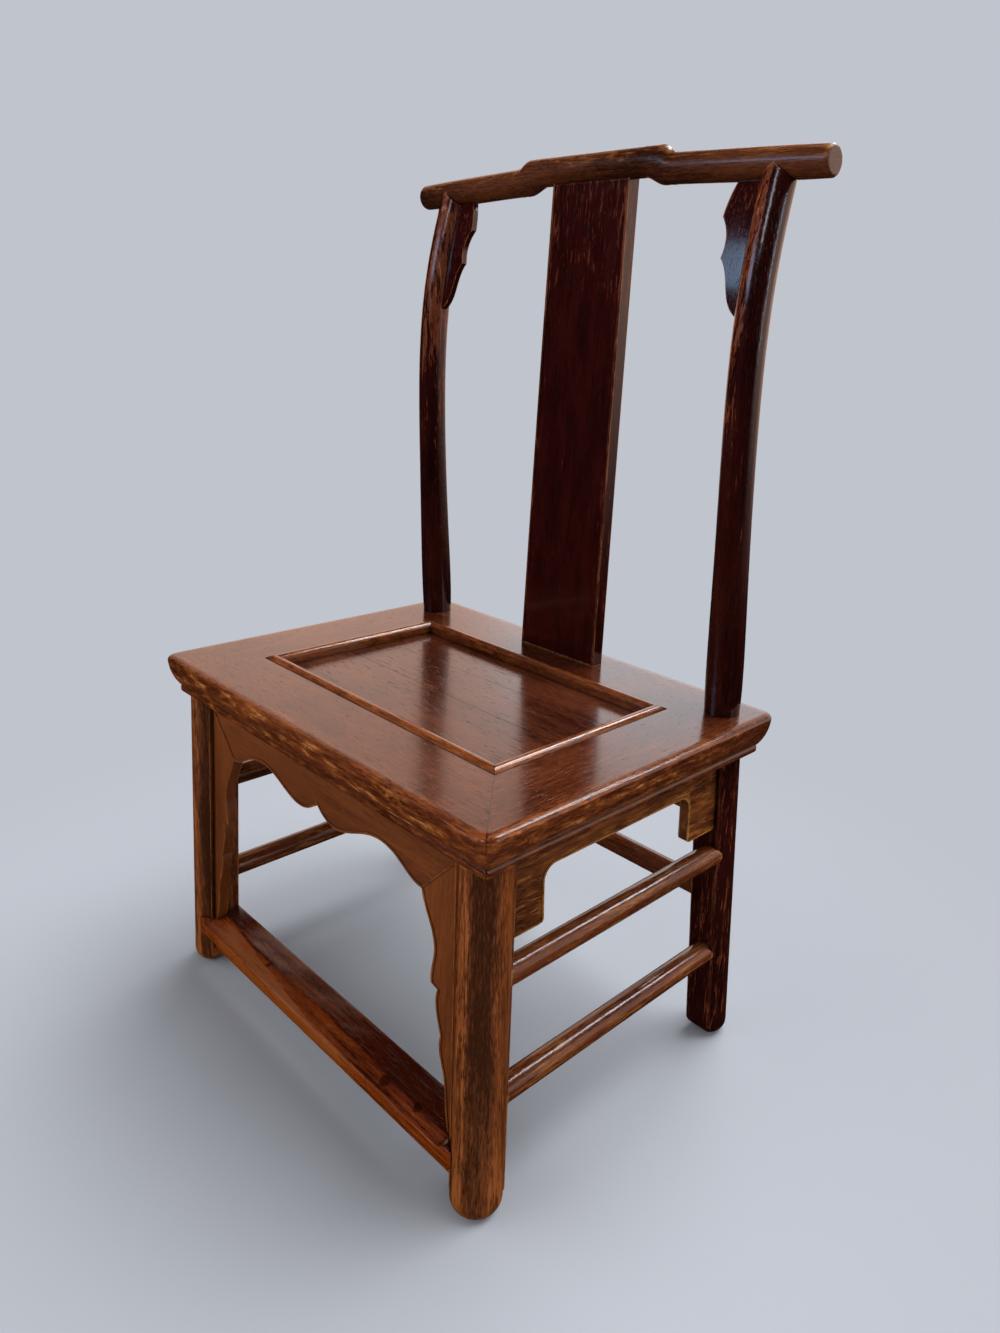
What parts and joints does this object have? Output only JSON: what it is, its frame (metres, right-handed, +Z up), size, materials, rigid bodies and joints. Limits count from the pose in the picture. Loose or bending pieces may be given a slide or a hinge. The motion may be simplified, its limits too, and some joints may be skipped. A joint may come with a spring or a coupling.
{
  "type": "yoke-back side chair",
  "caption": "Low yoke-back wooden side chair with a solid splat, curved posts, framed panel seat, carved front apron and a worn footrest.",
  "frame": {"origin": "on the floor, under the middle of the chair's bounding box", "axes": "+X towards the sitter's left, +Y towards the back, +Z up; the chair faces -Y"},
  "size_m": [0.505, 0.365, 0.8494],
  "materials": {
    "lacquered_wood": "worn dark red-brown lacquer, glossy",
    "dark_lacquer": "near-black maroon lacquer, glossy",
    "seat_lacquer": "red-brown lacquer, polished by use",
    "bare_wood": "unfinished timber"
  },
  "bodies": {
    "root": {"front_right_leg": "lacquered_wood", "front_left_leg": "lacquered_wood", "rear_right_post": "dark_lacquer", "rear_left_post": "dark_lacquer", "seat_frame_front": "seat_lacquer", "seat_frame_back": "seat_lacquer", "seat_frame_right": "seat_lacquer", "seat_frame_left": "seat_lacquer", "seat_panel_front": "seat_lacquer", "seat_panel_middle": "seat_lacquer", "seat_panel_rear": "seat_lacquer", "panel_batten_right": "bare_wood", "panel_batten_left": "bare_wood", "front_apron": "lacquered_wood", "front_apron_right_side": "lacquered_wood", "front_apron_left_side": "lacquered_wood", "right_side_apron": "lacquered_wood", "left_side_apron": "lacquered_wood", "rear_apron": "lacquered_wood", "right_upper_stretcher": "lacquered_wood", "left_upper_stretcher": "lacquered_wood", "right_lower_stretcher": "lacquered_wood", "left_lower_stretcher": "lacquered_wood", "rear_stretcher": "lacquered_wood", "footrest": "dark_lacquer", "footrest_apron": "dark_lacquer", "crest_rail": "lacquered_wood", "splat": "dark_lacquer", "crest_spandrel_right": "dark_lacquer", "crest_spandrel_left": "dark_lacquer", "seat_frame_pegs": "bare_wood", "crest_pegs": "bare_wood"}
  },
  "joints": []
}
